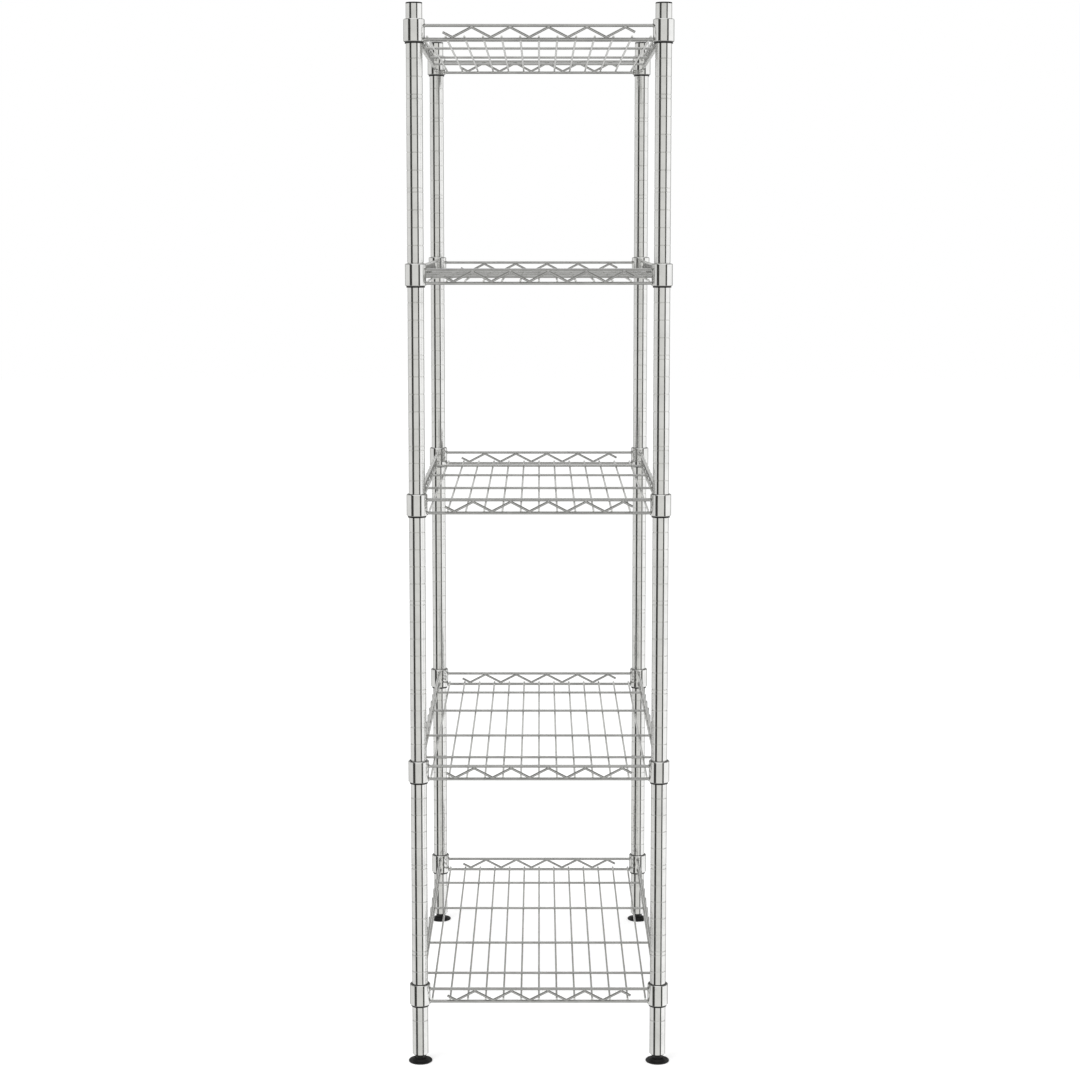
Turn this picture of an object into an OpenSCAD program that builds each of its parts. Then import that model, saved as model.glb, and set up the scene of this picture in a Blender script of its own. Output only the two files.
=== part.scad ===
// Five-tier wire shelving rack. Four grooved posts carry five welded wire shelves, each
// turned lip up like a tray. A shelf's corner collars wedge over tapered split sleeves
// that snap into the grooves, and levelling feet screw into the ends of the posts.
// Millimetres, +Z up. The origin is on the floor, midway between the four posts.

/* [Rack] */
// Distance between the post centres across the short side
width_centres = 353; // [300:1:450]
// Distance between the post centres along the long side
depth_centres = 705; // [600:1:1000]
// Height from the floor to the top of the end caps
rack_height = 1550; // [1500:10:1700]

/* [Posts] */
// Outside diameter of a post
post_d = 23.4; // [20:0.1:25.4]
// Wall thickness of a post
post_wall = 1.2; // [1.1:0.1:1.6]
// Distance from one single groove to the next
groove_pitch = 25.1; // [24.8:0.1:25.4]
// Distance between the two lines of a double groove
double_gap = 5.8; // [5:0.1:6.4]
// Width of a groove at the surface
groove_width = 1.5; // [1.3:0.1:1.8]
// Depth of a groove
groove_depth = 0.45; // [0.4:0.05:0.6]
// Height of the first groove above the lower end of a post
groove_above_foot = 52; // [48:0.5:56]
// Depth of the first groove below the upper end of a post
groove_below_cap = 26.3; // [25:0.1:28]
// Single grooves before each double groove, from the foot up
lower_singles = [4, 4, 4, 4, 4]; // [3:1:5]
// Single grooves before each double groove, from the cap down
upper_singles = [4, 4, 4, 3, 4]; // [3:1:5]

/* [Shelf levels] */
// Heights of the lower shelves' grooves above the floor, each snapping to the nearest groove
lower_shelves = [90, 427, 821]; // [75:1:900]
// Depths of the upper shelves' grooves below the top of the rack, snapping in the same way
upper_shelves = [397, 53]; // [45:1:600]

/* [End caps] */
// Thickness of a cap's flange
cap_flange = 2; // [1.5:0.1:3]
// Bevel at the upper edge of a cap's flange
cap_bevel = 0.3; // [0.2:0.1:1]
// Length of a cap's plug inside the post
cap_plug = 12; // [8:1:20]
// Wall thickness of a cap's plug
cap_wall = 1.4; // [1:0.1:2]

/* [Levelling feet] */
// Height of the lower end of a post above the floor
foot_height = 12.5; // [11.5:0.5:16]
// Diameter of a foot's base
foot_d = 35; // [30:0.5:45]
// Height of the straight edge of a foot's base
foot_edge = 2.6; // [2:0.1:3.5]
// Bevel at the outer edges of a foot's base
foot_bevel = 0.7; // [0.4:0.1:0.9]
// Diameter of the raised middle of a foot's base
foot_middle_d = 25; // [21:0.5:27]
// Height of the raised middle of a foot's base
foot_crown = 5.2; // [4.5:0.1:6]
// Size of a foot's hexagon across its flats
foot_hex = 14; // [12:0.5:17]
// Diameter of the threaded stud
stud_d = 8; // [6:1:10]
// Length of the threaded stud above the hexagon
stud_length = 38; // [34:1:50]
// Depth of the stud in the foot
stud_seat = 6; // [4:0.5:8]
// Chamfer at the upper end of the stud
stud_tip = 1; // [0.5:0.1:1.5]
// Thickness of the insert's flange below the post
insert_flange = 1.2; // [1:0.1:2]
// Length of the insert inside the post
insert_length = 22; // [16:1:26]

/* [Sleeves and collars] */
// Height of a collar
collar_height = 31.6; // [29:0.1:34]
// Wall thickness of a sleeve at the narrow upper end of its taper
sleeve_top_wall = 1.1; // [0.9:0.1:1.4]
// Wall thickness of a sleeve at the wide lower end of its taper
sleeve_bottom_wall = 1.9; // [1.7:0.1:2.4]
// Wall thickness of the rim below a sleeve's taper
sleeve_rim_wall = 1.5; // [1:0.1:1.7]
// Length of the straight land at each end of the taper
taper_land = 2.5; // [0.5:0.1:3]
// Height of the inner ridge above the lower end of a sleeve
sleeve_ridge = 3.9; // [2.6:0.1:5]
// Length of sleeve that shows above a collar
sleeve_above = 0.2; // [0:0.1:1]
// Length of sleeve that shows below a collar
sleeve_below = 2.4; // [1.5:0.1:3]
// Width of the slot between the two halves of a sleeve
sleeve_slot = 0.8; // [0.5:0.1:1.5]
// Wall thickness of a collar at its lower end
collar_wall = 1.25; // [1.15:0.05:2.4]
// Chamfer at the outer edges of a collar
collar_chamfer = 0.8; // [0.4:0.1:1]

/* [Shelf wires] */
// Diameter of the straight truss wires
rail_d = 4.4; // [3.8:0.1:5]
// Height of the upper truss wire above the lower one
rail_gap = 19; // [17:0.5:22]
// Height of the lower truss wire above the lower edge of a collar
rail_height = 3.8; // [3:0.1:4.5]
// Diameter of the zigzag wire
zigzag_d = 3.5; // [2.8:0.1:3.8]
// Length of one full wave of the zigzag wire
zigzag_pitch = 54.4; // [48:0.2:60]
// Centre-line radius of a bend in the zigzag wire
zigzag_bend = 4; // [3:0.1:5]
// Least distance from a collar to the end of a zigzag wire
zigzag_margin = 20; // [14:1:24]
// Diameter of the deck wires that run along the long side
deck_d = 3; // [2.4:0.1:3.4]
// Number of deck wires
deck_count = 13; // [9:1:15]
// Distance from a collar to the centre of the outermost deck wires
deck_edge = 3.1; // [2.6:0.1:6]
// Diameter of the cross wires on top of the deck wires
cross_d = 3.8; // [3:0.1:4.2]
// Distance from the middle of a shelf to each inner cross wire
cross_inner = 93.5; // [50:0.5:150]
// Distance from the middle of a shelf to each outer cross wire
cross_outer = 243; // [180:0.5:270]
// Length that deck and cross wires reach past the middle of the truss wire under them
wire_overhang = 0.6; // [0:0.1:1]

/* [Fits] */
// Depth that welded wires sink into each other
weld_sink = 0.1; // [0.05:0.01:0.15]
// Clearance round a part pressed or screwed into a post
plug_clearance = 0.08; // [0.05:0.01:0.1]
// Clearance between a sleeve and its post
sleeve_clearance = 0.1; // [0.05:0.01:0.15]
// Clearance between a collar's taper and its sleeves
taper_clearance = 0.15; // [0.1:0.01:0.2]
// Gap between a foot's hexagon and the insert when the foot is screwed in
foot_gap = 0.3; // [0.2:0.05:0.5]

/* [Hidden] */
$fn = 48;
eps = 0.01;

post_r = post_d / 2;
bore_r = post_r - post_wall;
post_bottom = foot_height;
post_top = rack_height - cap_flange;
plug_r = bore_r - plug_clearance;

sleeve_bore_r = post_r + sleeve_clearance;
sleeve_top_r = sleeve_bore_r + sleeve_top_wall;
sleeve_bottom_r = sleeve_bore_r + sleeve_bottom_wall;
sleeve_rim_r = sleeve_bore_r + sleeve_rim_wall;
collar_r = sleeve_bottom_r + taper_clearance + collar_wall;
sleeve_height = sleeve_below + collar_height + sleeve_above;
rail_r = rail_d / 2;
zigzag_r = zigzag_d / 2;
deck_r = deck_d / 2;
cross_r = cross_d / 2;
stud_r = stud_d / 2;
thread_r = stud_r + plug_clearance;

// The shelf's layers, as heights above its lower front truss wire
deck_level = rail_r + deck_r - weld_sink;
cross_level = deck_level + deck_r + cross_r - weld_sink;
side_lift = cross_level - cross_r - rail_r + weld_sink;

// The zigzag wire lies on the outer flank of the truss wires, clear of the ends of the others
zigzag_offset = wire_overhang + weld_sink + zigzag_r;
// Height from a truss wire's centre to the nearest point of the zigzag wire's centre line
bend_rise = sqrt(pow(rail_r + zigzag_r - weld_sink, 2) - pow(zigzag_offset, 2));
zigzag_height = rail_gap - 2 * bend_rise;

corners = [[-1, -1, "front_left"], [1, -1, "front_right"], [-1, 1, "rear_left"], [1, 1, "rear_right"]];
levels = [1:len(lower_shelves) + len(upper_shelves)];

// ---- Groove pattern ----

function total(values, count) = count == 0 ? 0 : values[count - 1] + total(values, count - 1);

// Distance from the first groove to the start of group k
function group_start(singles, k) = (total(singles, k) + k) * groove_pitch + k * double_gap;

// Every groove line of a pattern, as distances from its first line
function groove_lines(singles) = [
  for (k = [0:len(singles) - 1]) each concat(
    [for (i = [0:singles[k]]) group_start(singles, k) + i * groove_pitch],
    [group_start(singles, k) + singles[k] * groove_pitch + double_gap]
  )
];

upper_lines = [for (d = groove_lines(upper_singles)) post_top - groove_below_cap - d];
lower_first = post_bottom + groove_above_foot;
fill_start = lower_first + group_start(lower_singles, len(lower_singles));
pattern_gap = groove_pitch / 2;
fill_room = upper_lines[len(upper_lines) - 1] - pattern_gap - fill_start;
lower_lines = concat(
  [for (d = groove_lines(lower_singles)) lower_first + d],
  [for (i = [0:floor(fill_room / groove_pitch)]) fill_start + i * groove_pitch]
);
upper_lines_upwards = [for (i = [len(upper_lines) - 1:-1:0]) upper_lines[i]];
groove_heights = concat(lower_lines, upper_lines_upwards);

// The groove nearest to height z, looking from groove i on for one that beats the best so far
function nearest_groove(z, best = 0, i = 1) = i == len(groove_heights) ? groove_heights[best]
  : nearest_groove(z, abs(groove_heights[i] - z) < abs(groove_heights[best] - z) ? i : best, i + 1);

// Heights of the grooves that hold the shelves, from the floor up, and of what sits on them
wanted_heights = concat(lower_shelves, [for (depth = upper_shelves) rack_height - depth]);
seat_heights = [for (z = wanted_heights) nearest_groove(z)];
function sleeve_base(level) = seat_heights[level - 1] - sleeve_ridge;
function collar_base(level) = sleeve_base(level) + sleeve_below;
function rail_base(level) = collar_base(level) + rail_height;

// ---- Helpers ----

module at_corner(c) {
  translate([c[0] * width_centres / 2, c[1] * depth_centres / 2, 0]) children();
}

module at_corners() {
  for (c = corners) at_corner(c) children();
}

// A round wire along +X, centred on the origin
module wire(length, radius) {
  rotate([0, 90, 0]) cylinder(h = length, r = radius, center = true);
}

// ---- Posts, caps and feet ----

// Tube with its grooves rolled into the outside
module post() {
  flank = groove_width / 4;
  outline = concat(
    [[bore_r, post_bottom], [post_r, post_bottom]],
    [for (z = groove_heights) each [
      [post_r, z - groove_width / 2],
      [post_r - groove_depth, z - groove_width / 2 + flank],
      [post_r - groove_depth, z + groove_width / 2 - flank],
      [post_r, z + groove_width / 2]
    ]],
    [[post_r, post_top], [bore_r, post_top]]
  );
  color("silver") rotate_extrude() polygon(outline);
}

// Push-in cap: a flange on the end of the tube and a hollow plug inside it
module cap() {
  color("dimgray") translate([0, 0, post_top]) rotate_extrude() polygon([
    [0, 0], [plug_r - cap_wall, 0], [plug_r - cap_wall, -cap_plug], [plug_r, -cap_plug],
    [plug_r, 0], [post_r, 0], [post_r, cap_flange - cap_bevel], [post_r - cap_bevel, cap_flange],
    [0, cap_flange]
  ]);
}

// Threaded insert pressed into the lower end of a post
module foot_insert() {
  color("dimgray") translate([0, 0, post_bottom]) rotate_extrude() polygon([
    [thread_r, -insert_flange], [bore_r, -insert_flange], [post_r - post_wall / 2, 0],
    [plug_r, 0], [plug_r, insert_length], [thread_r, insert_length]
  ]);
}

hex_top = foot_height - insert_flange - foot_gap;

// Foot: a low stepped disc with a hexagon on top, bored for the stud
module foot() {
  foot_r = foot_d / 2;
  middle_r = foot_middle_d / 2;
  color("#1c1c1c") difference() {
    union() {
      rotate_extrude() polygon([
        [0, 0], [foot_r - foot_bevel, 0], [foot_r, foot_bevel], [foot_r, foot_edge - foot_bevel],
        [foot_r - foot_bevel, foot_edge], [middle_r, foot_edge],
        [middle_r - (foot_crown - foot_edge), foot_crown], [0, foot_crown]
      ]);
      translate([0, 0, foot_edge]) cylinder(h = hex_top - foot_edge, d = foot_hex / cos(30), $fn = 6);
    }
    translate([0, 0, hex_top - stud_seat]) cylinder(h = stud_seat + eps, r = thread_r);
  }
}

// Threaded stud, drawn at its outside diameter
module stud() {
  length = stud_seat + stud_length;
  color("silver") translate([0, 0, hex_top - stud_seat]) rotate_extrude() polygon([
    [0, 0], [stud_r, 0], [stud_r, length - stud_tip], [stud_r - stud_tip, length], [0, length]
  ]);
}

// ---- Sleeves ----

// One half of a split sleeve: tapered outside, with a ridge inside that sits in a groove
module half_sleeve() {
  ridge_r = post_r - groove_depth + sleeve_clearance;
  ridge_half = groove_width / 2 - sleeve_clearance;
  half_turn = 180 - 2 * asin(sleeve_slot / 2 / sleeve_bore_r);
  rotate([0, 0, (180 - half_turn) / 2]) rotate_extrude(angle = half_turn) polygon([
    [sleeve_bore_r, 0], [sleeve_rim_r, 0], [sleeve_rim_r, sleeve_below],
    [sleeve_bottom_r, sleeve_below], [sleeve_bottom_r, sleeve_below + taper_land],
    [sleeve_top_r, sleeve_below + collar_height - taper_land],
    [sleeve_top_r, sleeve_height], [sleeve_bore_r, sleeve_height],
    [sleeve_bore_r, sleeve_ridge + ridge_half], [ridge_r, sleeve_ridge + ridge_half / 2],
    [ridge_r, sleeve_ridge - ridge_half / 2], [sleeve_bore_r, sleeve_ridge - ridge_half]
  ]);
}

module sleeves(level) {
  color("#2b2b2b") translate([0, 0, sleeve_base(level)]) at_corners() {
    half_sleeve();
    rotate([0, 0, 180]) half_sleeve();
  }
}

// ---- Shelves ----

// Corner collar: straight outside, tapered inside to match the sleeves
module collar() {
  inner_low = sleeve_bottom_r + taper_clearance;
  inner_high = sleeve_top_r + taper_clearance;
  rotate_extrude() polygon([
    [inner_low, taper_land], [inner_low, 0], [collar_r - collar_chamfer, 0], [collar_r, collar_chamfer],
    [collar_r, collar_height - collar_chamfer], [collar_r - collar_chamfer, collar_height],
    [inner_high, collar_height], [inner_high, collar_height - taper_land]
  ]);
}

module collars(level) {
  color("silver") translate([0, 0, collar_base(level)]) at_corners() collar();
}

// Zigzag wire in the XZ plane, centred on the origin: straight stretches joined by round
// bends, with both ends cut off halfway up. The straights are a hair thicker and lap the
// bends, so that all of them join into one wire.
module zigzag(bends) {
  half_pitch = zigzag_pitch / 2;
  centre_rise = zigzag_height - 2 * zigzag_bend;
  centres = sqrt(pow(half_pitch, 2) + pow(centre_rise, 2));
  slope = atan2(centre_rise, half_pitch) + asin(2 * zigzag_bend / centres);
  straight = sqrt(pow(centres, 2) - pow(2 * zigzag_bend, 2));
  lap = 0.05;
  straight_r = zigzag_r + lap / 2;
  for (i = [0:bends - 1]) {
    x = (i - (bends - 1) / 2) * half_pitch;
    up = i % 2 == 0 ? -1 : 1;
    translate([x, 0, up * centre_rise / 2]) rotate([90, slope - up * 90, 0])
      rotate_extrude(angle = 2 * slope) translate([zigzag_bend, 0]) circle(r = zigzag_r);
    // The stretch from this bend to the next
    if (i < bends - 1) {
      translate([x + half_pitch / 2, 0, 0]) rotate([0, up * slope, 0]) wire(straight + 2 * lap, straight_r);
    }
  }
  // Half a stretch at each end
  for (side = [-1, 1]) {
    up = side < 0 || bends % 2 == 0 ? 1 : -1;
    translate([side * bends * half_pitch / 2, 0, 0]) rotate([0, up * slope, 0])
      translate([-side * (straight / 4 + lap / 2), 0, 0]) wire(straight / 2 + lap, straight_r);
  }
}

// One side of the tray along X, its lower wire on the origin's level and its zigzag at -Y
module truss(centres, bends) {
  // The wires' flat ends meet the round collars at their rims and sink in at the middle
  rail_end = sqrt(pow(collar_r, 2) - pow(rail_r, 2));
  for (z = [0, rail_gap]) translate([0, 0, z]) wire(centres - 2 * rail_end, rail_r);
  translate([0, -zigzag_offset, rail_gap / 2]) zigzag(bends);
}

// How many bends fit between two collars
function bend_room(centres) = floor((centres - 2 * collar_r - 2 * zigzag_margin) / (zigzag_pitch / 2));
end_bends = 2 * floor(bend_room(width_centres) / 2);
side_bends = 2 * floor((bend_room(depth_centres) - 1) / 2) + 1;

module front_truss(level) {
  color("silver") translate([0, -depth_centres / 2, rail_base(level)]) truss(width_centres, end_bends);
}

module rear_truss(level) {
  color("silver") translate([0, depth_centres / 2, rail_base(level)]) mirror([0, 1, 0])
    truss(width_centres, end_bends);
}

module side_truss(level, side) {
  color("silver") translate([side * width_centres / 2, 0, rail_base(level) + side_lift])
    rotate([0, 0, side * 90]) truss(depth_centres, side_bends);
}

module deck_wires(level) {
  outer = width_centres / 2 - collar_r - deck_edge;
  length = depth_centres + 2 * wire_overhang;
  color("silver") translate([0, 0, rail_base(level) + deck_level]) for (i = [0:deck_count - 1]) {
    translate([outer * (2 * i / (deck_count - 1) - 1), 0, 0]) rotate([0, 0, 90]) wire(length, deck_r);
  }
}

module cross_wires(level) {
  length = width_centres + 2 * wire_overhang;
  color("silver") translate([0, 0, rail_base(level) + cross_level])
    for (side = [-1, 1], distance = [cross_inner, cross_outer]) {
      translate([0, side * distance, 0]) wire(length, cross_r);
    }
}

// ---- The pieces ----

for (c = corners) {
  at_corner(c) post();
  at_corner(c) cap();
  at_corner(c) foot();
  at_corner(c) stud();
}
at_corners() foot_insert();  // foot_inserts
for (n = levels) {
  sleeves(n);
  collars(n);
  front_truss(n);
  rear_truss(n);
  side_truss(n, -1);
  side_truss(n, 1);
  deck_wires(n);
  cross_wires(n);
}
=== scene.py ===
import math
import random

import bmesh
import bpy
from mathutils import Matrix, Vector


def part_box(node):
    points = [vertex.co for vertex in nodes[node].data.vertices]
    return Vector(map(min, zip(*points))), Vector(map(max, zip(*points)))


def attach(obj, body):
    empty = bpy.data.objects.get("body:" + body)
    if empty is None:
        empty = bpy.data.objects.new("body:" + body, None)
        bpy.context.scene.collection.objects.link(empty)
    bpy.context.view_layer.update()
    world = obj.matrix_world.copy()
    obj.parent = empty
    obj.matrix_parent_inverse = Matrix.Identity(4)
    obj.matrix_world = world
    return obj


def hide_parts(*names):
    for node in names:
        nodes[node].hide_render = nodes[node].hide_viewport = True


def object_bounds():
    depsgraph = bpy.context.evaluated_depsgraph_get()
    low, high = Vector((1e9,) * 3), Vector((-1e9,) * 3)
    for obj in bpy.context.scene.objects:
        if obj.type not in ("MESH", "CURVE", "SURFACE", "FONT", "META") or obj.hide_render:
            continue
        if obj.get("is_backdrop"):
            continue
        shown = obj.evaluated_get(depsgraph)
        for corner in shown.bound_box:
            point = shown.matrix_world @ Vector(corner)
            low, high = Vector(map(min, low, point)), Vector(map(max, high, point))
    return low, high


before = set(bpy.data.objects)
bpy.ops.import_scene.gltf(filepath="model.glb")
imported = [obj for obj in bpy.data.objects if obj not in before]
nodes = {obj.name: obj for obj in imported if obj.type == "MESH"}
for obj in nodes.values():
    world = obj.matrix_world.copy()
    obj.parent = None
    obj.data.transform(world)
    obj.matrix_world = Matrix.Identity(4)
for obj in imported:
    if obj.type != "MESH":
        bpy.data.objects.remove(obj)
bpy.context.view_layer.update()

# Looks of a chrome wire shelving rack: the CAD pieces with procedural finishes, weld beads and
# screw threads, a pale studio and a camera. Metres, +Z up, -Y is the front (a short side).

CORNERS = ("front_left", "front_right", "rear_left", "rear_right")
SHELVES = range(1, 6)
scene = bpy.context.scene
scene.view_settings.view_transform = "Standard"


def middle(node):
    """The centre of a CAD node's box."""
    low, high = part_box(node)
    return (low + high) / 2


# ---- Camera ----

# Distance from the front posts' plane, height above the floor, place along X and downward tilt
CAMERA_DISTANCE = 3.289
CAMERA_HEIGHT = 1.234
CAMERA_SIDE = 0.0016
CAMERA_PITCH = math.radians(6.842)
# Lens and sensor in millimetres, the shift in widths of the frame, and the farthest that it sees
LENS = 76.23
SENSOR_WIDTH = 36
SHIFT_Y = -0.035
VIEW_REACH = 60


def make_camera():
    """The camera that looks at the rack's front side."""
    data = bpy.data.cameras.new("camera")
    data.sensor_width = SENSOR_WIDTH
    data.lens = LENS
    data.shift_y = SHIFT_Y
    data.clip_end = VIEW_REACH
    camera = bpy.data.objects.new("camera", data)
    scene.collection.objects.link(camera)
    front = middle("front_left_post").y
    camera.location = (CAMERA_SIDE, front - CAMERA_DISTANCE, CAMERA_HEIGHT)
    camera.rotation_euler = (math.pi / 2 - CAMERA_PITCH, 0, 0)
    scene.camera = camera


# ---- Shader nodes ----


def add_node(tree, kind, **settings):
    """A new node, with its plain settings."""
    node = tree.nodes.new(kind)
    for name, value in settings.items():
        setattr(node, name, value)
    return node


def feed(tree, sockets, values):
    """Links or sets each socket in turn."""
    for socket, value in zip(sockets, values):
        if isinstance(value, bpy.types.NodeSocket):
            tree.links.new(value, socket)
        else:
            socket.default_value = value


def math_node(tree, operation, *inputs):
    """The output of a Math node whose inputs are numbers or other nodes' outputs."""
    node = add_node(tree, "ShaderNodeMath", operation=operation)
    feed(tree, node.inputs, inputs)
    return node.outputs[0]


def vector_node(tree, operation, *inputs):
    """A Vector Math node whose inputs are vectors or other nodes' outputs."""
    node = add_node(tree, "ShaderNodeVectorMath", operation=operation)
    feed(tree, node.inputs, inputs)
    return node


def remap(tree, value, from_low, from_high, low=0.0, high=1.0):
    """value, taken smoothly from one range to another and held inside it."""
    node = add_node(tree, "ShaderNodeMapRange", interpolation_type="SMOOTHSTEP")
    feed(tree, node.inputs, (value, from_low, from_high, low, high))
    return node.outputs[0]


def mix(tree, factor, first, second):
    """Colour between first and second."""
    node = add_node(tree, "ShaderNodeMix", data_type="RGBA")
    # The node has sockets for each kind of data: 6, 7 and output 2 are the colours
    feed(tree, (node.inputs[0], node.inputs[6], node.inputs[7]), (factor, first, second))
    return node.outputs[2]


def ramp(tree, factor, stops):
    """A Color Ramp's output over stops of (position, colour)."""
    node = add_node(tree, "ShaderNodeValToRGB")
    elements = node.color_ramp.elements
    while len(elements) < len(stops):
        elements.new(1.0)
    for element, (position, colour) in zip(elements, stops):
        element.position = position
        element.color = (*colour[:3], 1)
    tree.links.new(factor, node.inputs[0])
    return node.outputs[0]


# ---- Studio ----

# What polished metal sees round the horizon, by azimuth in degrees: 0 is towards the camera's
# side, and positive is towards +X. Two dark flags stand left and right of the camera, two narrow
# ones behind the rack, and a white screen stands on the right.
FLAG = (0.06, 0.06, 0.055)
LEFT_FLAG = (0.045, 0.045, 0.042)
REAR = (0.62, 0.62, 0.61)
HORIZON = (
    (-180, REAR),
    (-163, REAR),
    (-160, FLAG),
    (-148, FLAG),
    (-145, (0.70, 0.70, 0.69)),
    (-67, (0.73, 0.73, 0.72)),
    (-63, LEFT_FLAG),
    (-37, LEFT_FLAG),
    (-33, (0.69, 0.69, 0.67)),
    (32, (0.71, 0.71, 0.69)),
    (36, FLAG),
    (51, FLAG),
    (55, (0.97, 0.97, 0.97)),
    (115, (1.0, 1.0, 1.0)),
    (135, (0.70, 0.70, 0.69)),
    (145, (0.66, 0.66, 0.65)),
    (148, FLAG),
    (160, FLAG),
    (163, REAR),
    (180, REAR),
)
# What polished metal sees above and below, by the height of the direction (its sine). Each pair
# says where the horizon starts to give way and where the ground, wall or ceiling is all there is.
GROUND_FROM, GROUND_TO = -0.40, -0.60
WALL_FROM, WALL_TO = 0.14, 0.28
CEILING_FROM, CEILING_TO = 0.86, 0.95
# How much lower the wall starts straight in front of the rack, and higher straight behind it
WALL_TILT = 0.04
GROUND_COLOUR = (0.30, 0.30, 0.295, 1)
WALL_COLOUR = (0.17, 0.17, 0.165, 1)
CEILING_COLOUR = (1.0, 1.0, 1.0, 1)
# What lights dull surfaces from all sides, and what the camera sees behind the rack
AMBIENT = (0.80, 0.80, 0.80, 1)
WHITE = (1, 1, 1, 1)


def make_world():
    """White to the camera, plain soft light on the object, and a studio with flags in metal."""
    world = bpy.data.worlds.new("studio")
    scene.world = world
    world.use_nodes = True
    tree = world.node_tree
    tree.nodes.clear()
    direction = add_node(tree, "ShaderNodeTexCoord").outputs["Generated"]
    parts = add_node(tree, "ShaderNodeSeparateXYZ")
    tree.links.new(direction, parts.inputs[0])
    x, y, z = parts.outputs
    # The azimuth runs from 0 to 1 along the ramp, with 0.5 towards the camera's side
    azimuth = math_node(tree, "ARCTAN2", x, math_node(tree, "MULTIPLY", y, -1.0))
    turn = math_node(tree, "MULTIPLY_ADD", azimuth, 1 / math.tau, 0.5)
    horizon = ramp(tree, turn, [(degrees / 360 + 0.5, colour) for degrees, colour in HORIZON])
    tilted = math_node(tree, "MULTIPLY_ADD", y, -WALL_TILT, z)
    walls = mix(tree, remap(tree, tilted, WALL_FROM, WALL_TO), horizon, WALL_COLOUR)
    upper = mix(tree, remap(tree, z, CEILING_FROM, CEILING_TO), walls, CEILING_COLOUR)
    studio = mix(tree, remap(tree, z, GROUND_TO, GROUND_FROM), GROUND_COLOUR, upper)
    rays = add_node(tree, "ShaderNodeLightPath").outputs
    in_metal = math_node(tree, "MAXIMUM", rays["Is Glossy Ray"], rays["Is Transmission Ray"])
    colour = mix(tree, rays["Is Camera Ray"], mix(tree, in_metal, AMBIENT, studio), WHITE)
    background = add_node(tree, "ShaderNodeBackground")
    output = add_node(tree, "ShaderNodeOutputWorld")
    tree.links.new(colour, background.inputs["Color"])
    tree.links.new(background.outputs[0], output.inputs["Surface"])


# Side of the floor in metres, its finish, and how strongly it glows where the camera sees it
FLOOR_SIZE = 30.0
FLOOR_COLOUR = (0.80, 0.80, 0.80, 1)
FLOOR_ROUGHNESS = 0.9
FLOOR_LIFT = 0.42


def make_floor():
    """A pale floor that keeps the rack's shadow and is lifted to white where the camera looks."""
    mesh = bpy.data.meshes.new("floor")
    grid = bmesh.new()
    bmesh.ops.create_grid(grid, x_segments=1, y_segments=1, size=FLOOR_SIZE / 2)
    grid.to_mesh(mesh)
    grid.free()
    floor = bpy.data.objects.new("floor", mesh)
    floor.location.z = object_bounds()[0].z
    scene.collection.objects.link(floor)
    floor.visible_glossy = False
    material, tree, shader = new_material(
        "floor",
        Base_Color=FLOOR_COLOUR,
        Roughness=FLOOR_ROUGHNESS,
        Specular_IOR_Level=0.0,
        Emission_Color=WHITE,
    )
    rays = add_node(tree, "ShaderNodeLightPath").outputs
    lift = math_node(tree, "MULTIPLY", rays["Is Camera Ray"], FLOOR_LIFT)
    tree.links.new(lift, shader.inputs["Emission Strength"])
    mesh.materials.append(material)
    floor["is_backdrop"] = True


# Place, side length and power in watts of the one lamp, up and to the left in front
LAMP_PLACE = (-2.2, -2.6, 3.4)
LAMP_SIZE = 2.5
LAMP_POWER = 60


def make_lamp():
    """A large square soft light that points at the middle of the rack."""
    data = bpy.data.lights.new("key_light", "AREA")
    data.shape = "SQUARE"
    data.size = LAMP_SIZE
    data.energy = LAMP_POWER
    lamp = bpy.data.objects.new("key_light", data)
    scene.collection.objects.link(lamp)
    low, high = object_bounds()
    lamp.location = LAMP_PLACE
    lamp.rotation_euler = ((low + high) / 2 - lamp.location).to_track_quat("-Z", "Y").to_euler()
    lamp.visible_glossy = False


# ---- Materials ----


def new_material(name, **values):
    """A material, its tree and its Principled shader, with constants set on the shader's sockets."""
    material = bpy.data.materials.new(name)
    material.use_nodes = True
    shader = material.node_tree.nodes["Principled BSDF"]
    for socket, value in values.items():
        shader.inputs[socket.replace("_", " ")].default_value = value
    return material, material.node_tree, shader


def noise(tree, scale, detail, roughness=0.5):
    """Noise over the object's own coordinates, with its own scale along X, Y and Z."""
    coords = add_node(tree, "ShaderNodeTexCoord").outputs["Object"]
    stretched = vector_node(tree, "MULTIPLY", coords, scale).outputs[0]
    node = add_node(tree, "ShaderNodeTexNoise")
    tree.links.new(stretched, node.inputs["Vector"])
    node.inputs["Scale"].default_value = 1.0
    node.inputs["Detail"].default_value = detail
    node.inputs["Roughness"].default_value = roughness
    return node.outputs["Fac"]


def bump(tree, shader, height, distance, strength=1.0):
    """Fine relief on the shader's normal. distance is in metres."""
    node = add_node(tree, "ShaderNodeBump")
    node.inputs["Distance"].default_value = distance
    node.inputs["Strength"].default_value = strength
    tree.links.new(height, node.inputs["Height"])
    tree.links.new(node.outputs[0], shader.inputs["Normal"])


# Noise scales, in waves per metre, of the drawn lines and of the smudges on the plate
GRAIN_ACROSS = 2600.0
GRAIN_ALONG = 60.0
SMUDGE_SCALE = 38.0
# Values of the smudges' noise between which the tint and the roughness change
SMUDGE_TINT_SPAN = (0.35, 0.68)
SMUDGE_ROUGH_SPAN = (0.38, 0.72)
CLEAN_ROUGHNESS = 0.05
SMUDGED_ROUGHNESS = 0.12
# Roughness that the drawn lines add, and how deep they are
LINE_ROUGHNESS = 0.05
LINE_RELIEF = 0.000004
# Share of its red and green that a tint keeps in blue
CHROME_WARMTH = 0.985
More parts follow.
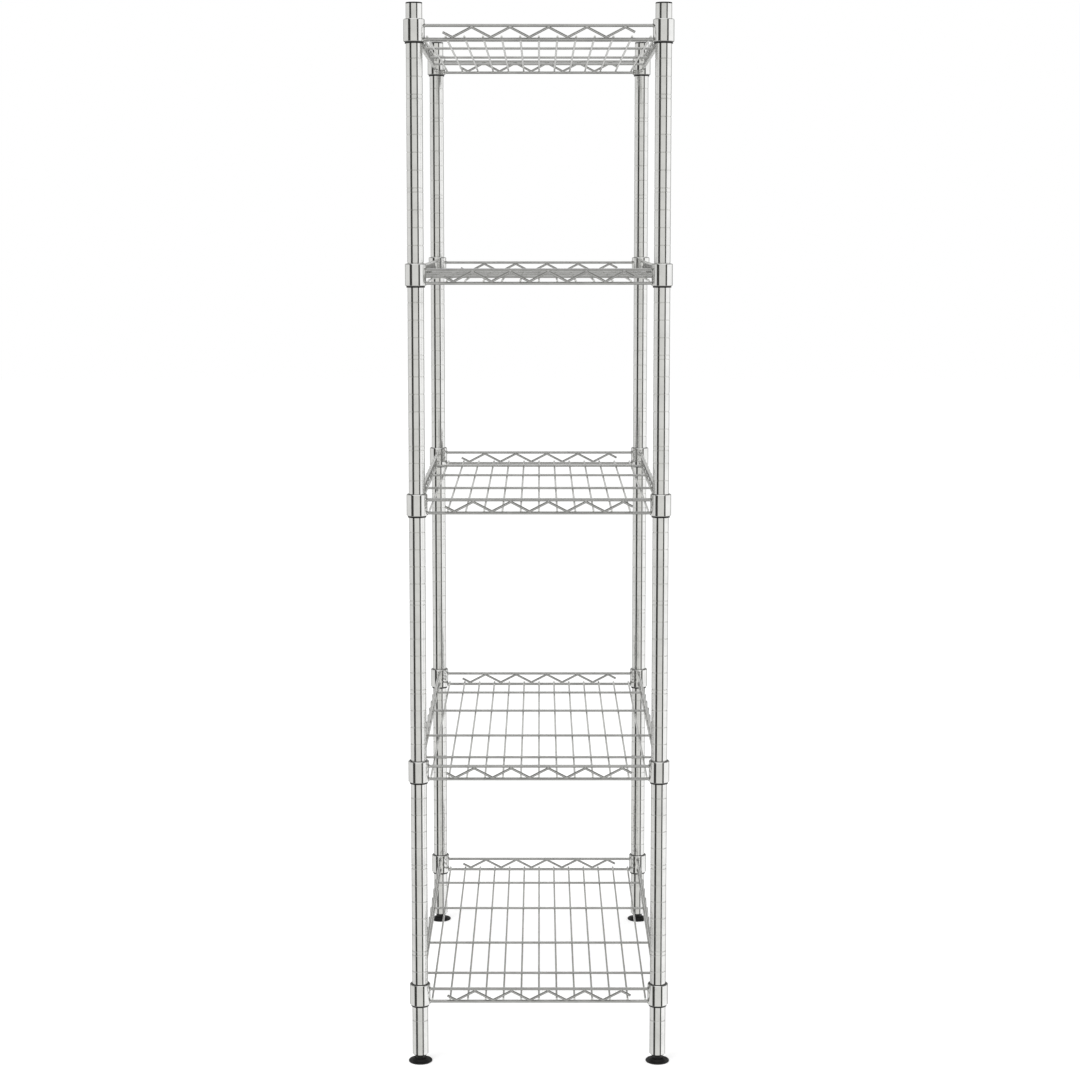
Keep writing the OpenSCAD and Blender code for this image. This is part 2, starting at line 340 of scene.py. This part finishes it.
# Tints of clean and of smudged plate: posts and collars, then truss, deck and cross wires
TUBE_TINTS = (0.91, 0.84)
WIRE_TINTS = (0.83, 0.73)
DECK_TINTS = (0.93, 0.83)
CROSS_TINTS = (0.86, 0.76)
# Roughness that wires and welds have beyond the posts' chrome
WIRE_DULL = 0.03
END_WIRE_DULL = 0.06
WELD_DULL = 0.12


def chrome(name, grain, tints=TUBE_TINTS, dull=0.0):
    """Chrome plate over drawn steel: fine lines along the grain axis (0, 1 or 2), faint smudges."""
    light, dark = [(tint, tint, tint * CHROME_WARMTH, 1) for tint in tints]
    material, tree, shader = new_material(name, Metallic=1.0)
    scale = [GRAIN_ACROSS] * 3
    scale[grain] = GRAIN_ALONG
    lines = noise(tree, scale, detail=2.0)
    smudges = noise(tree, (SMUDGE_SCALE,) * 3, detail=4.0, roughness=0.6)
    tint = mix(tree, remap(tree, smudges, *SMUDGE_TINT_SPAN), light, dark)
    roughness = (CLEAN_ROUGHNESS + dull, SMUDGED_ROUGHNESS + dull)
    rough = remap(tree, smudges, *SMUDGE_ROUGH_SPAN, *roughness)
    lined = math_node(tree, "MULTIPLY_ADD", lines, LINE_ROUGHNESS, rough)
    tree.links.new(tint, shader.inputs["Base Color"])
    tree.links.new(lined, shader.inputs["Roughness"])
    bump(tree, shader, lines, LINE_RELIEF)
    return material


# Grooves of the posts, darkened with painted shade: the depths at which the painted shade is full
# and where it starts, its colour, and the roughness that the grooves add
GROOVE_SHADE_FULL = 0.0004
GROOVE_SHADE_START = 0.0001
GROOVE_SHADE = (0.86, 0.86, 0.84, 1)
GROOVE_DULL = 0.10


def post_chrome():
    """Chrome with duller grooves darkened by painted shade: the mask is how far the surface lies
    inside the tube.
    """
    material = chrome("post_chrome", 2)
    tree = material.node_tree
    shader = tree.nodes["Principled BSDF"]
    low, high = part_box("front_left_post")
    axis = (low + high) / 2
    radius = (high.x - low.x) / 2
    coords = add_node(tree, "ShaderNodeTexCoord").outputs["Object"]
    # The four posts stand alike about the middle, so one axis serves them all
    folded = vector_node(tree, "ABSOLUTE", coords).outputs[0]
    offset = vector_node(tree, "SUBTRACT", folded, (abs(axis.x), abs(axis.y), 0)).outputs[0]
    flat = vector_node(tree, "MULTIPLY", offset, (1, 1, 0)).outputs[0]
    distance = vector_node(tree, "LENGTH", flat).outputs["Value"]
    groove = remap(tree, distance, radius - GROOVE_SHADE_FULL, radius - GROOVE_SHADE_START, 1.0, 0.0)
    tint = shader.inputs["Base Color"].links[0].from_socket
    rough = shader.inputs["Roughness"].links[0].from_socket
    # The grooves' colour is darkened here: painted shade in the recesses, not dirt
    tree.links.new(mix(tree, groove, tint, GROOVE_SHADE), shader.inputs["Base Color"])
    rougher = math_node(tree, "MULTIPLY_ADD", groove, GROOVE_DULL, rough)
    tree.links.new(rougher, shader.inputs["Roughness"])
    return material


# Moulded plastic: noise scales in waves per metre, values of the sheen's noise between which wear
# and roughness change, and the depth and strength of the grain
MOULD_GRAIN_SCALE = 900.0
MOULD_SHEEN_SCALE = 55.0
MOULD_WEAR_SPAN = (0.42, 0.74)
MOULD_ROUGH_SPAN = (0.3, 0.7)
MOULD_RELIEF = 0.00003
MOULD_STRENGTH = 0.6
# Dark and worn colour, and lowest and highest roughness, of each black piece
CAP_LOOK = ((0.012, 0.012, 0.012), (0.020, 0.020, 0.019), 0.34, 0.48)
FOOT_LOOK = ((0.008, 0.008, 0.008), (0.015, 0.015, 0.014), 0.38, 0.55)
SLEEVE_LOOK = ((0.012, 0.012, 0.012), (0.020, 0.020, 0.019), 0.38, 0.52)
INSERT_LOOK = ((0.018, 0.018, 0.018), (0.030, 0.030, 0.029), 0.40, 0.60)


def plastic(name, dark, worn, rough_low, rough_high):
    """Black moulded plastic: fine moulded grain, uneven sheen and slightly greyer worn spots."""
    material, tree, shader = new_material(name, Metallic=0.0, IOR=1.5)
    grain = noise(tree, (MOULD_GRAIN_SCALE,) * 3, detail=2.0)
    sheen = noise(tree, (MOULD_SHEEN_SCALE,) * 3, detail=5.0, roughness=0.65)
    tint = mix(tree, remap(tree, sheen, *MOULD_WEAR_SPAN), (*dark, 1), (*worn, 1))
    tree.links.new(tint, shader.inputs["Base Color"])
    rough = remap(tree, sheen, *MOULD_ROUGH_SPAN, rough_low, rough_high)
    tree.links.new(rough, shader.inputs["Roughness"])
    bump(tree, shader, grain, MOULD_RELIEF, MOULD_STRENGTH)
    return material


# Zinc plate: mottling in waves per metre, values of its noise between which colour and roughness
# change, the two colours and roughnesses, and its relief
MOTTLE_SCALE = 420.0
MOTTLE_TINT_SPAN = (0.35, 0.7)
MOTTLE_ROUGH_SPAN = (0.3, 0.7)
ZINC_LIGHT = (0.56, 0.57, 0.58, 1)
ZINC_DARK = (0.44, 0.44, 0.42, 1)
ZINC_ROUGHNESS = (0.24, 0.40)
ZINC_RELIEF = 0.00001


def zinc():
    """Zinc-plated steel of the studs: slightly bluish, mottled and duller than the chrome."""
    material, tree, shader = new_material("stud_zinc", Metallic=1.0)
    mottle = noise(tree, (MOTTLE_SCALE,) * 3, detail=4.0)
    tint = mix(tree, remap(tree, mottle, *MOTTLE_TINT_SPAN), ZINC_LIGHT, ZINC_DARK)
    tree.links.new(tint, shader.inputs["Base Color"])
    rough = remap(tree, mottle, *MOTTLE_ROUGH_SPAN, *ZINC_ROUGHNESS)
    tree.links.new(rough, shader.inputs["Roughness"])
    bump(tree, shader, mottle, ZINC_RELIEF)
    return material


def dress(node, material):
    """Gives a CAD node its finish, in every material slot that it has."""
    slots = nodes[node].data.materials
    if not slots:
        slots.append(material)
    for i in range(len(slots)):
        slots[i] = material


# ---- Welds and threads ----

# The welded wires, as they are in the CAD: radii, a full wave of the zigzag wire, how far welded
# wires sink into each other, how far wires' ends reach past the middle of the truss wire under
# them, and the bends of a zigzag wire on a short and on a long side
RAIL_RADIUS = 0.0022
ZIGZAG_RADIUS = 0.00175
ZIGZAG_PITCH = 0.0544
WELD_SINK = 0.0001
WIRE_OVERHANG = 0.0006
END_BENDS = 10
SIDE_BENDS = 23
# Where a bend's centre line lies from that of the truss wire that it touches: outward, and towards
# the other truss wire
ZIGZAG_OUT = WIRE_OVERHANG + WELD_SINK + ZIGZAG_RADIUS
ZIGZAG_RISE = math.sqrt((RAIL_RADIUS + ZIGZAG_RADIUS - WELD_SINK) ** 2 - ZIGZAG_OUT ** 2)
# Half sizes of a weld where two wires cross, where a bend touches, and round a wire's end
CROSS_BEAD = 0.0016
CROSS_BEAD_THICK = 0.0007
BEND_BEAD = 0.0023
BEND_BEAD_THICK = 0.0009
END_BEAD = 0.0032
END_BEAD_THICK = 0.0013
# Share by which each corner of a bead is swollen or sunk at most
BEAD_WOBBLE = 0.10


def new_piece(name, verts, faces, material, body):
    """A smooth-shaded mesh piece that rides on a body."""
    mesh = bpy.data.meshes.new(name)
    mesh.from_pydata(verts, [], faces)
    mesh.polygons.foreach_set("use_smooth", [True] * len(mesh.polygons))
    mesh.materials.append(material)
    piece = bpy.data.objects.new(name, mesh)
    scene.collection.objects.link(piece)
    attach(piece, body)
    return piece


def strands(node, axis):
    """The centres of a node's parallel wires along one axis, told apart by the gaps between them."""
    places = sorted({vertex.co[axis] for vertex in nodes[node].data.vertices})
    runs = [[places[0]]]
    for place in places[1:]:
        # No wire has a step this wide between its own points
        if place - runs[-1][-1] > RAIL_RADIUS:
            runs.append([])
        runs[-1].append(place)
    return [(run[0] + run[-1]) / 2 for run in runs]


def rail_levels(node):
    """Heights of a truss's lower and upper wire."""
    low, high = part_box(node)
    return low.z + RAIL_RADIUS, high.z - RAIL_RADIUS


def crossing_beads(n):
    """Welds where deck wires meet end trusses, and cross wires meet deck wires and side trusses."""
    deck = f"shelf_{n}_deck_wires"
    cross = f"shelf_{n}_cross_wires"
    deck_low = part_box(deck)[0].z
    deck_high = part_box(deck)[1].z
    cross_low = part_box(cross)[0].z
    cross_places = strands(cross, 1)
    flat = (CROSS_BEAD, CROSS_BEAD, CROSS_BEAD_THICK)
    rear = middle("rear_left_post").y
    side = middle("front_right_post").x
    for x in strands(deck, 0):
        for y in (-rear, rear):
            yield (x, y, deck_low), flat
        for y in cross_places:
            yield (x, y, deck_high), flat
    for y in cross_places:
        for x in (-side, side):
            yield (x, y, cross_low), flat


def truss_beads(node, along, bends, outward):
    """Welds at a zigzag wire's bends and round the truss wires' ends. along is 0 or 1, X or Y."""
    low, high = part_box(node)
    levels = rail_levels(node)
    across = 1 - along
    rail_line = outward * middle("rear_right_post")[across]
    # Share of the way from the truss wire's centre line to the bend's at which the two touch
    lean = RAIL_RADIUS / math.hypot(ZIGZAG_OUT, ZIGZAG_RISE)
    for i in range(bends):
        # The bends take turns at the lower and the upper wire, and touch each from inside
        up = i % 2
        inward = -1 if up else 1
        place = [0, 0, levels[up] + inward * ZIGZAG_RISE * lean]
        place[along] = (i - (bends - 1) / 2) * ZIGZAG_PITCH / 2
        place[across] = rail_line + outward * ZIGZAG_OUT * lean
        size = [BEND_BEAD_THICK] * 3
        size[along] = BEND_BEAD
        yield tuple(place), tuple(size)
    for z in levels:
        for end in (low[along], high[along]):
            place = [0, 0, z]
            place[along] = end
            place[across] = rail_line
            size = [END_BEAD] * 3
            size[along] = END_BEAD_THICK
            yield tuple(place), tuple(size)


def unit_ball():
    """Corners and faces of a ball whose radius is 1."""
    ball = bmesh.new()
    bmesh.ops.create_icosphere(ball, subdivisions=2, radius=1)
    corners = [vertex.co.copy() for vertex in ball.verts]
    faces = [[vertex.index for vertex in face.verts] for face in ball.faces]
    ball.free()
    return corners, faces


def make_welds(material):
    """One piece of weld beads for each shelf, each bead a slightly uneven flattened drop."""
    corners, ball_faces = unit_ball()
    for n in SHELVES:
        chance = random.Random(n)
        beads = list(crossing_beads(n))
        for side, outward in (("front", -1), ("rear", 1)):
            beads += truss_beads(f"shelf_{n}_{side}_truss", 0, END_BENDS, outward)
        for side, outward in (("left", -1), ("right", 1)):
            beads += truss_beads(f"shelf_{n}_{side}_truss", 1, SIDE_BENDS, outward)
        verts, faces = [], []
        for place, size in beads:
            start = len(verts)
            for corner in corners:
                swell = 1 + chance.uniform(-BEAD_WOBBLE, BEAD_WOBBLE)
                verts.append([p + c * s * swell for p, c, s in zip(place, corner, size)])
            faces += [[start + i for i in face] for face in ball_faces]
        new_piece(f"shelf_{n}_welds", verts, faces, material, f"shelf_{n}")


# The thread of a stud: its pitch and depth, how steep its flanks are (the groove takes up
# 2 / THREAD_FLANKS of the pitch), the points round a turn and rows in a pitch, and the tip's chamfer
THREAD_PITCH = 0.00125
THREAD_DEPTH = 0.00065
THREAD_FLANKS = 2.6
THREAD_AROUND = 40
THREAD_ROWS = 10
STUD_TIP = 0.001


def thread_groove(height, step):
    """How deep the thread's groove is at a height above its start and at one point of the turn."""
    phase = (height / THREAD_PITCH - step / THREAD_AROUND) % 1
    return THREAD_DEPTH * (1 - min(1, abs(phase - 0.5) * THREAD_FLANKS))


def thread_faces(rows):
    """Faces of a stud's mesh: a lower point, rows of points round the axis, and an upper point."""
    last = 1 + rows * THREAD_AROUND
    top = last + THREAD_AROUND
    faces = []
    for step in range(THREAD_AROUND):
        after = (step + 1) % THREAD_AROUND
        faces.append((0, 1 + after, 1 + step))
        for row in range(rows):
            here = 1 + row * THREAD_AROUND
            above = here + THREAD_AROUND
            faces.append((here + step, here + after, above + after, above + step))
        faces.append((last + step, last + after, top))
    return faces


def make_studs(material):
    """Studs with a real helical thread in place of the plain ones."""
    for corner in CORNERS:
        low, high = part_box(f"{corner}_stud")
        axis = (low + high) / 2
        radius = (high.x - low.x) / 2
        rows = round((high.z - low.z) / THREAD_PITCH * THREAD_ROWS)
        verts = [(axis.x, axis.y, low.z)]
        for row in range(rows + 1):
            z = low.z + (high.z - low.z) * row / rows
            chamfer = max(0, z - (high.z - STUD_TIP))
            for step in range(THREAD_AROUND):
                reach = radius - max(thread_groove(z - low.z, step), chamfer)
                turn = math.tau * step / THREAD_AROUND
                verts.append((axis.x + reach * math.cos(turn), axis.y + reach * math.sin(turn), z))
        verts.append((axis.x, axis.y, high.z))
        name = f"{corner}_threaded_stud"
        body = f"{corner}_levelling_foot"
        piece = new_piece(name, verts, thread_faces(rows), material, body)
        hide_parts(f"{corner}_stud")


# ---- All together ----


def dress_all():
    """Finishes every CAD node and makes the pieces that only the scene has."""
    post = post_chrome()
    collar = chrome("collar_chrome", 2)
    along_x = chrome("wire_chrome_x", 0, WIRE_TINTS, END_WIRE_DULL)
    along_y = chrome("wire_chrome_y", 1, WIRE_TINTS, WIRE_DULL)
    deck = chrome("deck_wire_chrome", 1, DECK_TINTS, WIRE_DULL)
    cross = chrome("cross_wire_chrome", 0, CROSS_TINTS, WIRE_DULL)
    cap = plastic("cap_plastic", *CAP_LOOK)
    foot = plastic("foot_plastic", *FOOT_LOOK)
    sleeve = plastic("sleeve_plastic", *SLEEVE_LOOK)
    insert = plastic("insert_plastic", *INSERT_LOOK)
    for corner in CORNERS:
        dress(f"{corner}_post", post)
        dress(f"{corner}_cap", cap)
        dress(f"{corner}_foot", foot)
    dress("foot_inserts", insert)
    for n in SHELVES:
        dress(f"sleeves_{n}", sleeve)
        dress(f"shelf_{n}_collars", collar)
        for side in ("front", "rear"):
            dress(f"shelf_{n}_{side}_truss", along_x)
        for side in ("left", "right"):
            dress(f"shelf_{n}_{side}_truss", along_y)
        dress(f"shelf_{n}_deck_wires", deck)
        dress(f"shelf_{n}_cross_wires", cross)
    make_welds(chrome("weld_chrome", 0, DECK_TINTS, WELD_DULL))
    make_studs(zinc())


make_camera()
make_world()
make_floor()
make_lamp()
dress_all()
